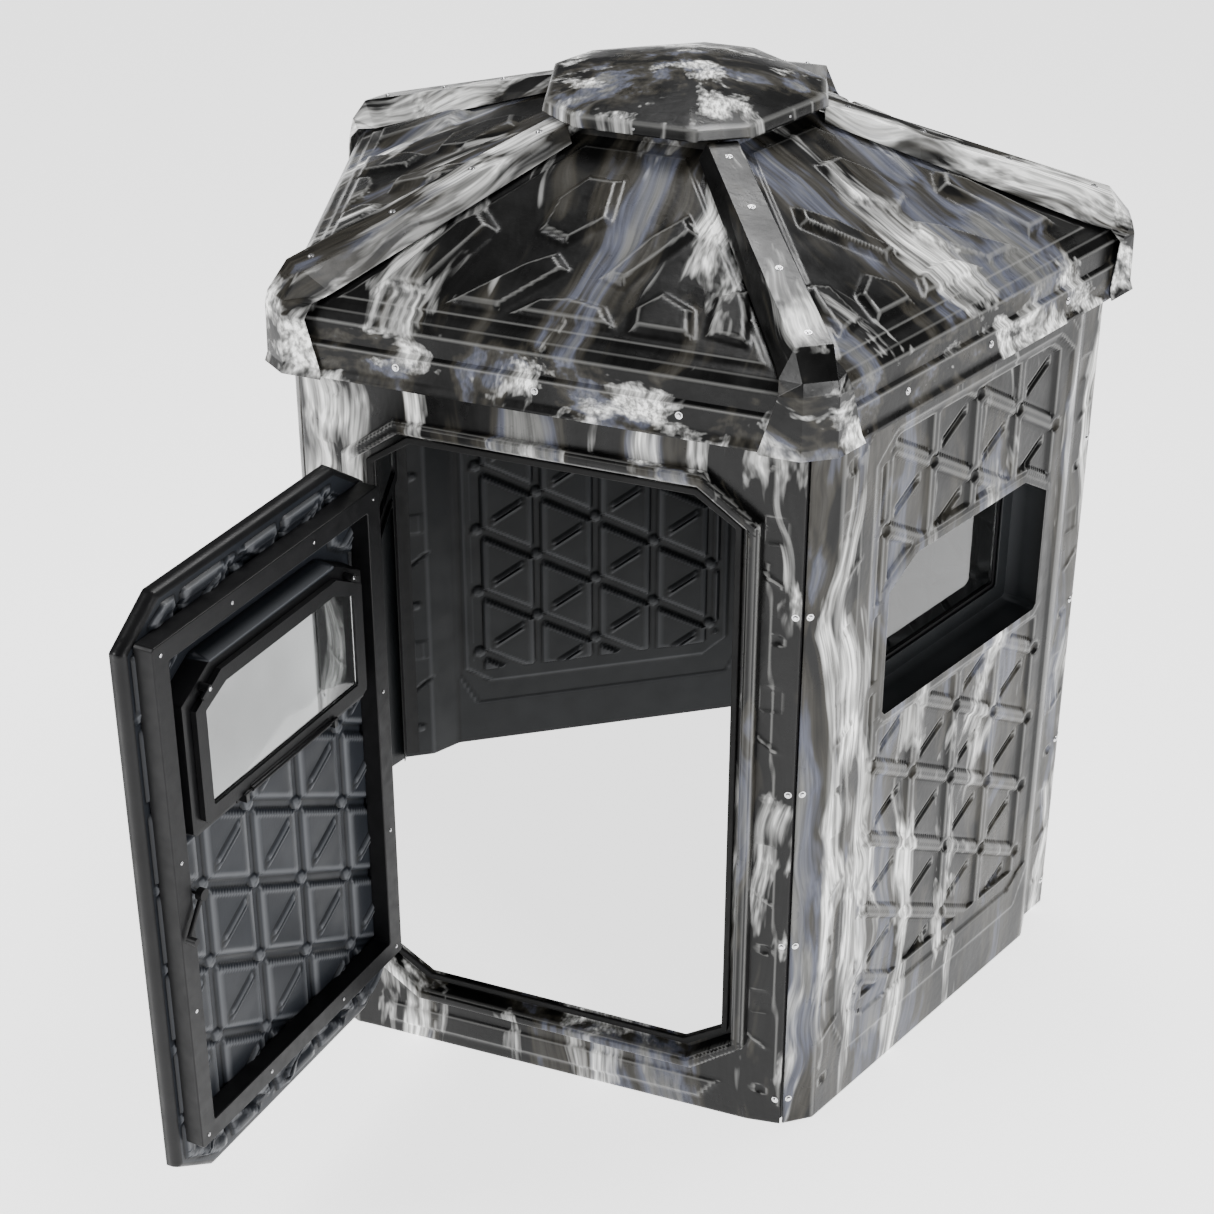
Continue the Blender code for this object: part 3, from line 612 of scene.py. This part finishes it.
def make_door():
    level = DOOR_FACE - SHEET
    extent = (DOOR_S0 + SHEET, DOOR_S1 - SHEET, DOOR_Z0 + SHEET, DOOR_Z1 - SHEET)
    edge = octagon(*extent, DOOR_SHEET_CUT, DOOR_SHEET_CUT)
    window = octagon(DOOR_WINDOW_S - WINDOW_HALF, DOOR_WINDOW_S + WINDOW_HALF,
                     DOOR_WINDOW_LOW, DOOR_WINDOW_HIGH, SMALL_CUT, WINDOW_CUT)
    steps = ((0.0, level - DOOR_LIP), (0.001, level - 0.012), (0.003, level - 0.005), (0.0075, level - 0.001),
             (0.012, level), (0.045, level), (0.060, DOOR_FIELD))
    rings = [(shrink(edge, amount) if amount else edge, step) for amount, step in steps]
    recess = [(window, None), (shrink(window, WINDOW_TAPER), DOOR_RECESS),
              (shrink(window, WINDOW_HOLE), DOOR_RECESS)]
    area = shrink(edge, 0.026)
    middle_column = 2.5 * COLUMN

    def level_at(u, z):
        inwards = ringed(rings, np.full(u.shape, level - DOOR_LIP), u, z)
        clear = ease(depth_in(area, u, z), 0.0, 0.008) * ease(-depth_in(window, u, z), 0.030, 0.042)
        inwards = inwards - lattice(u - middle_column + COLUMN / 2, z, -1) * clear
        for z_low in (0.402, 0.597, 0.814, 1.020, 1.442):
            inwards = inwards - dimple_at(u, z, (DOOR_S1 - 0.030, z_low), 0.013, 0.005)
        return ringed(recess, inwards, u, z)

    bm = flat_grid(*extent, -1)
    for outline, _ in [*rings, *recess]:
        score(bm, outline)
    trim_away(bm, edge, outside=True)
    trim_away(bm, recess[-1][0], outside=False)
    lip = rings[4][0]
    top_ledge = DOOR_WINDOW_HIGH - WINDOW_TAPER - 0.001
    for (face, in_window), (_, in_lip) in zip(face_depths(bm, window), face_depths(bm, lip)):
        boxed = in_window > 0 and face.calc_center_median().z <= top_ledge
        face.material_index = 2 if boxed else int(in_lip < 0)
    mesh = flat_sheet("door_shell", bm, level_at, on_door)
    outer = printed_camouflage("door_print", -DOOR_OPEN, shift=2.1)
    add_sheet_piece("door_shell", mesh, outer, door_slate, rim=1, trim=black_plastic)


# ---------------------------------------------------------------- roof
ROOF_BLOCKS = (
    ([(-0.430, 0.070), (-0.300, 0.070), (-0.215, 0.300), (-0.275, 0.360), (-0.330, 0.300)], 0.024, 0.026),
    ([(-0.255, 0.060), (-0.120, 0.060), (-0.010, 0.210), (-0.060, 0.260), (-0.120, 0.215)], 0.014, 0.016),
    ([(-0.100, 0.060), (0.150, 0.060), (0.105, 0.120), (0.020, 0.135), (-0.045, 0.120)], 0.012, 0.014),
    ([(0.180, 0.060), (0.330, 0.060), (0.300, 0.150), (0.215, 0.190), (0.165, 0.130)], 0.016, 0.018),
    ([(0.345, 0.085), (0.450, 0.070), (0.395, 0.240), (0.330, 0.200)], 0.012, 0.014),
    ([(0.060, 0.200), (0.130, 0.180), (0.235, 0.370), (0.190, 0.430), (0.125, 0.345)], 0.018, 0.020),
    ([(-0.130, 0.310), (-0.045, 0.280), (0.030, 0.370), (0.010, 0.505), (-0.075, 0.505), (-0.125, 0.420)],
     0.014, 0.018),
)


def facet_relief(across, up, mirror):
    """Raised angular blocks and a stepped border on one slope, measured up from the eave."""
    half_low, half_high = EAVE_OUT * math.tan(HALF), RIDGE_OUT * math.tan(HALF)
    top = SLOPE_LENGTH - 0.035
    border = [(-half_low + 0.115, 0.030), (half_low - 0.115, 0.030), (half_high - 0.070, top),
              (-half_high + 0.070, top)]
    level = 0.005 * ease(depth_in(border, across, up), -0.004, 0.006)
    for corners, height, bevel in ROOF_BLOCKS:
        shape = [(-a, s) for a, s in reversed(corners)] if mirror else corners
        level = level + block(across, up, shape, height, bevel)
    return np.where((up > 0) & (up < SLOPE_LENGTH), level, 0.0)


def make_roof_panels():
    """One sheet a side, bent along the roof's profile, with its relief on the slope."""
    row_step, columns = 0.0072, 151
    lengths = [0.0]
    for (out0, z0), (out1, z1) in zip(ROOF_PROFILE, ROOF_PROFILE[1:]):
        lengths.append(lengths[-1] + math.hypot(out1 - out0, z1 - z0))
    rows = []
    for start, end in zip(lengths, lengths[1:]):
        pieces = max(1, round((end - start) / row_step))
        rows += [start + (end - start) * i / pieces for i in range(pieces)]
    rows = np.array([*rows, lengths[-1]])
    apothem = np.interp(rows, lengths, [p[0] for p in ROOF_PROFILE])
    height = np.interp(rows, lengths, [p[1] for p in ROOF_PROFILE])
    ends = np.interp(rows, lengths, [SKIRT_END if p[1] < SKIRT_TOP else SEAM for p in ROOF_PROFILE])
    shares = np.linspace(-1.0, 1.0, columns)
    across = (apothem * math.tan(HALF) - ends)[:, None] * shares[None, :]
    up = np.repeat((rows - lengths[EAVE_ROW])[:, None], columns, axis=1)
    faces = [(j * columns + i, j * columns + i + 1, (j + 1) * columns + i + 1, (j + 1) * columns + i)
             for j in range(len(rows) - 1) for i in range(columns - 1)]
    for number, side in enumerate(WALLS):
        relief = facet_relief(across, up, number % 2 == 1)
        out = apothem[:, None] + relief * math.sin(SLOPE_ANGLE)
        z = height[:, None] + relief * math.cos(SLOPE_ANGLE)
        turn = number * STEP
        points = np.stack((*plan_turned(across, -out, turn), z), axis=-1).reshape(-1, 3)
        mesh = bpy.data.meshes.new("roof_panel_" + side)
        mesh.from_pydata(points.tolist(), [], faces)
        outer = printed_camouflage("roof_print_" + side, turn, SLOPE_ANGLE, 1.3 + 0.61 * number)
        add_sheet_piece("roof_panel_" + side, mesh, outer, inner_wall)


def make_cap():
    """A low dome on a five-sided rim whose corners are cut."""
    corner = CAP_APOTHEM / math.cos(HALF)
    rim = []
    for number in range(SIDES):
        for side in (-1, 1):
            x, y = side * CAP_TRUNCATION * math.cos(HALF), -corner + CAP_TRUNCATION * math.sin(HALF)
            around = HALF + number * STEP + math.atan2(x, -y)
            reach = math.hypot(x, y)
            rim.append(Vector((reach * math.sin(around), -reach * math.cos(around))))
    steps = 12
    points = [a.lerp(b, i / steps) for a, b in zip(rim, rim[1:] + rim[:1]) for i in range(steps)]
    band = CAP_LOW + CAP_BAND
    levels = [(1.0, 0.0, CAP_LOW), (0.9985, 0.0, CAP_LOW + 0.004),
              (0.988, 0.0, band - 0.005), (0.982, 0.0, band)]
    levels += [(share, 1 - share, band + (CAP_TOP - band) * (1 - share * share))
               for share in np.linspace(0.965, 0.03, 30)]
    verts, faces = [], []
    for share, roundness, z in levels:
        for p in points:
            reach = p.length * (1 - roundness) + CAP_APOTHEM * roundness
            q = p.normalized() * reach * share
            verts.append((q.x, q.y + PLAN_Y, z))
    count = len(points)
    for ring in range(len(levels) - 1):
        for i in range(count):
            j = (i + 1) % count
            low, high = ring * count, (ring + 1) * count
            faces.append((low + i, low + j, high + j, high + i))
    faces.append(tuple(range((len(levels) - 1) * count, len(levels) * count)))
    mesh = bpy.data.meshes.new("roof_cap")
    mesh.from_pydata(verts, [], faces)
    add_sheet_piece("roof_cap", mesh, printed_camouflage("cap_print", 0.3, math.radians(70), 5.2), inner_wall)


# ---------------------------------------------------------------- pieces that keep the frame's shape
def refined(name, material, bevel, segments=2, smooth=35):
    """The node's own shape with its edges rounded."""
    source = frame["nodes"][name].data
    bm = bmesh.new()
    bm.from_mesh(source)
    bmesh.ops.remove_doubles(bm, verts=bm.verts, dist=1e-5)
    bmesh.ops.dissolve_limit(bm, angle_limit=math.radians(1.0), verts=bm.verts, edges=bm.edges)
    mesh = bpy.data.meshes.new(name + "_piece")
    bm.to_mesh(mesh)
    bm.free()
    mesh.materials.clear()
    piece = link_piece(name + "_piece", mesh, (material,))
    mesh.shade_smooth()
    mesh.set_sharp_from_angle(angle=math.radians(smooth))
    rounding = piece.modifiers.new("edges", "BEVEL")
    rounding.width = bevel
    rounding.segments = segments
    rounding.limit_method = "ANGLE"
    rounding.angle_limit = math.radians(smooth)
    rounding.use_clamp_overlap = True
    rounding.harden_normals = True
    stand_for(piece, name)


def make_fittings():
    for number, corner in enumerate(CORNERS):
        refined("corner_post_" + corner, powder_coat, 0.0008)
        outer = printed_camouflage("hip_print_" + corner, HALF + number * STEP, math.radians(24),
                                   3.0 + 0.83 * number, pale_from=0.49)
        refined("hip_cover_" + corner, outer, 0.0018, smooth=12)
    for side in WALLS[1:]:
        refined(f"window_{side}_sash", black_plastic, 0.0016)
        refined(f"window_{side}_hinge", black_plastic, 0.0006, 1)
        refined(f"window_{side}_catch", black_plastic, 0.0010)
    refined("door_window_sash", black_plastic, 0.0016)
    refined("door_window_hinge", black_plastic, 0.0006, 1)
    refined("door_window_catch_left", black_plastic, 0.0010)
    refined("door_window_catch_right", black_plastic, 0.0010)
    refined("door_frame", powder_coat, 0.0030, 3)
    refined("doorway_seal", seal_rubber, 0.0035, 3)
    refined("latch_strike", zinc, 0.0010)
    refined("latch_arm", powder_coat, 0.0012)
    refined("latch_spindle", zinc, 0.0006)
    refined("latch_lever", black_plastic, 0.0020, 3)
    for label in ("lower", "middle", "upper"):
        refined("door_hinge_wall_" + label, powder_coat, 0.0005, 1)
        refined("door_hinge_leaf_" + label, powder_coat, 0.0005, 1)
    for name, kept in frame["nodes"].items():
        if name.endswith("_pane"):
            for place in kept.material_slots:
                place.material = pane


# ---------------------------------------------------------------- fasteners
def fastener_tree():
    """A washer and a low round head on each point, aimed along the point's own direction."""
    tree = bpy.data.node_groups.new("fastener_heads", "GeometryNodeTree")
    for label, kind in (("Geometry", "NodeSocketGeometry"), ("Head radius", "NodeSocketFloat"),
                        ("Head height", "NodeSocketFloat"), ("Washer radius", "NodeSocketFloat"),
                        ("Finish", "NodeSocketMaterial")):
        tree.interface.new_socket(label, in_out="INPUT", socket_type=kind)
    tree.interface.new_socket("Geometry", in_out="OUTPUT", socket_type="NodeSocketGeometry")
    given, result = tree.nodes.new("NodeGroupInput"), tree.nodes.new("NodeGroupOutput")
    head = node(tree, "GeometryNodeMeshCone", fill_type="NGON")
    head.inputs["Vertices"].default_value = 12
    washer = node(tree, "GeometryNodeMeshCylinder", fill_type="NGON")
    washer.inputs["Vertices"].default_value = 14
    washer.inputs["Depth"].default_value = 0.0016
    top = node(tree, "ShaderNodeMath", operation="MULTIPLY")
    top.inputs[1].default_value = 0.62
    both = tree.nodes.new("GeometryNodeJoinGeometry")
    spread = tree.nodes.new("GeometryNodeInstanceOnPoints")
    aim = tree.nodes.new("FunctionNodeAlignRotationToVector")
    aim.axis = "Z"
    direction = node(tree, "GeometryNodeInputNamedAttribute", data_type="FLOAT_VECTOR")
    direction.inputs["Name"].default_value = "aim"
    real, painted = tree.nodes.new("GeometryNodeRealizeInstances"), tree.nodes.new("GeometryNodeSetMaterial")
    join = tree.links.new
    join(given.outputs["Head radius"], head.inputs["Radius Bottom"])
    join(given.outputs["Head radius"], top.inputs[0])
    join(top.outputs[0], head.inputs["Radius Top"])
    join(given.outputs["Head height"], head.inputs["Depth"])
    join(given.outputs["Washer radius"], washer.inputs["Radius"])
    join(head.outputs["Mesh"], both.inputs[0])
    join(washer.outputs["Mesh"], both.inputs[0])
    join(given.outputs["Geometry"], spread.inputs["Points"])
    join(both.outputs[0], spread.inputs["Instance"])
    join(direction.outputs["Attribute"], aim.inputs["Vector"])
    join(aim.outputs["Rotation"], spread.inputs["Rotation"])
    join(spread.outputs["Instances"], real.inputs["Geometry"])
    join(real.outputs["Geometry"], painted.inputs["Geometry"])
    join(given.outputs["Finish"], painted.inputs["Material"])
    join(painted.outputs["Geometry"], result.inputs["Geometry"])
    return tree


HEADS = fastener_tree()


def add_fasteners(name, body, places, radius, height, washer, finish):
    """places: (point, direction) for each head."""
    points = bpy.data.meshes.new(name + "_places")
    points.from_pydata([tuple(p) for p, _ in places], [], [])
    stored = points.attributes.new("aim", "FLOAT_VECTOR", "POINT")
    stored.data.foreach_set("vector", [c for _, d in places for c in d])
    source = link_object(name + "_places", points)
    heads = source.modifiers.new("heads", "NODES")
    heads.node_group = HEADS
    sizes = {"Head radius": radius, "Head height": height, "Washer radius": washer, "Finish": finish}
    for item in HEADS.interface.items_tree:
        if item.in_out == "INPUT" and item.name in sizes:
            heads[item.identifier] = sizes[item.name]
    bpy.context.view_layer.update()
    solid = source.evaluated_get(bpy.context.evaluated_depsgraph_get())
    mesh = bpy.data.meshes.new_from_object(solid)
    bpy.data.objects.remove(source)
    mesh.name = name
    piece = link_object(name, mesh)
    mesh.shade_smooth()
    mesh.set_sharp_from_angle(angle=math.radians(40))
    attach(piece, body)


def wall_spot(number, level_at, u, z):
    """A point on a wall's outer face and the direction straight out of it."""
    place = on_wall(number)

    def at(uu, zz):
        return Vector(np.array(place(uu, float(level_at(np.array([uu]), np.array([zz]))[0]), zz)))

    slope = (at(u + 0.006, z) - at(u - 0.006, z)).cross(at(u, z + 0.006) - at(u, z - 0.006))
    return at(u, z), slope.normalized()


def turned(number, point, direction):
    """A point and direction beside the front wall, carried round to another wall or hip."""
    turn = Matrix.Rotation(number * STEP, 3, "Z")
    return turn @ Vector(point) + Vector((0, PLAN_Y, 0)), turn @ Vector(direction)


def make_fasteners():
    shell = []
    for number, side in enumerate(WALLS):
        level_at = doorway_wall_level()[0] if number == 0 else window_wall_level(RIB_SENSE[side])[0]
        for z in (0.075, 0.535, 0.960, 1.420):
            for u in (-0.590, 0.588):
                shell.append(wall_spot(number, level_at, u, z))
        for x in (-0.330, 0.0, 0.330):
            shell.append(turned(number, (x, -0.8865, 1.880), (0, -1, 0.05)))
        shell.append(turned(number, (0.0, -0.3105, 2.283), (0, -1, 0.25)))
    hip_slope = math.radians(14)
    out_of_hip = Vector((0, -math.sin(hip_slope), math.cos(hip_slope)))
    (low_radius, low_z), (high_radius, high_z) = (1.020, 2.057), (0.336, 2.266)
    for number in range(SIDES):
        for share in (0.06, 0.36, 0.66, 0.92):
            radius = low_radius + (high_radius - low_radius) * share
            z = low_z + (high_z - low_z) * share
            shell.append(turned(number + 0.5, (0, -radius, z), out_of_hip))
    add_fasteners("shell_bolts", "shell", shell, 0.0062, 0.0042, 0.0085, zinc)

    inwards = Vector((math.sin(DOOR_OPEN), math.cos(DOOR_OPEN), 0))
    left, right, bottom, top = DOOR_FRAME_LINES
    spots = [(s, z) for s in (left, right) for z in (bottom, 0.700, 1.087, top)]
    spots += [(s, z) for s in (0.300, 0.600) for z in (bottom, top)]
    door = [(Vector(on_door(s, DOOR_FACE + TUBE, z)), inwards) for s, z in spots]
    hinge_face, hinge_line = DOOR_RECESS + SHEET + 0.0045, 1.1225
    door += [(Vector(on_door(DOOR_WINDOW_S + x, hinge_face, hinge_line)), inwards)
             for x in (-0.150, -0.060, 0.060, 0.150)]
    add_fasteners("door_screws", "door", door, 0.0036, 0.0022, 0.0044, zinc)

    leaf_y = PLAN_Y - (APOTHEM + TRIM_OUT) - 0.0038
    leaves = [(Vector((HINGE_U - 0.025, leaf_y, z + lift)), Vector((0, -1, 0)))
              for z in (0.445, 0.835, 1.425) for lift in (-0.030, 0.030)]
    add_fasteners("hinge_screws", "shell", leaves, 0.0042, 0.0026, 0.0050, zinc)

    catch_face = 0.024                  # from the catch's axis point to the head of its screw
    for name in frame["nodes"]:
        if "_catch" in name:
            joint = next(j for j in frame["record"]["behaviour"]["joints"] if j["child"] == node_body(name))
            out = Vector(joint["axis"])
            add_fasteners(name + "_screw", node_body(name),
                          [(Vector(joint["pos_m"]) + out * catch_face, out)], 0.0042, 0.0022, 0.0050, zinc)


# ---------------------------------------------------------------- ground, light and camera
def make_stage():
    made, _, shader = new_finish("pale_floor", (0.86, 0.86, 0.86), 0.8)
    shader.inputs["Emission Color"].default_value = (1, 1, 1, 1)
    shader.inputs["Emission Strength"].default_value = 2.2
    mesh = bpy.data.meshes.new("floor")
    reach, level = 60.0, -0.001
    corners = ((-1, -1), (1, -1), (1, 1), (-1, 1))
    mesh.from_pydata([(x * reach, y * reach, level) for x, y in corners], [], [(0, 1, 2, 3)])
    floor = link_piece("floor", mesh, (made,))
    world = bpy.data.worlds.new("studio")
    bpy.context.scene.world = world
    world.use_nodes = True
    sky = world.node_tree.nodes["Background"]
    sky.inputs["Color"].default_value = (1, 1, 1, 1)
    sky.inputs["Strength"].default_value = 0.16


def add_panel_light(name, place, target, size, watts):
    lamp = bpy.data.lights.new(name, "AREA")
    lamp.shape = "RECTANGLE"
    lamp.size, lamp.size_y = size
    lamp.energy = watts
    made = link_object(name, lamp)
    made.location = place
    made.rotation_euler = (Vector(target) - Vector(place)).to_track_quat("-Z", "Y").to_euler()


def make_light():
    add_panel_light("key_left", (-4.5, -4.0, 4.2), (0, 0, 1.2), (2.2, 2.8), 330)
    add_panel_light("front_right", (5.0, -3.2, 3.0), (0, 0.2, 1.2), (1.4, 3.2), 240)
    add_panel_light("overhead", (0.6, 1.4, 5.6), (0, 0.3, 1.8), (3.0, 1.2), 260)


def make_camera():
    lens = bpy.data.cameras.new("camera")
    lens.lens, lens.sensor_width, lens.sensor_fit = 73.69, 36.0, "HORIZONTAL"
    made = link_object("camera", lens)
    target, distance = Vector((-0.1635, -0.066 + PLAN_Y, 0.890)), 6.515
    azimuth, elevation = math.radians(21.97), math.radians(29.27)
    level = math.cos(elevation)
    back = Vector((math.sin(azimuth) * level, -math.cos(azimuth) * level, math.sin(elevation)))
    made.location = target + back * distance
    made.rotation_euler = (-back).to_track_quat("-Z", "Y").to_euler()
    bpy.context.scene.camera = made


make_walls()
make_door()
make_roof_panels()
make_cap()
make_fittings()
make_fasteners()
make_stage()
make_light()
make_camera()
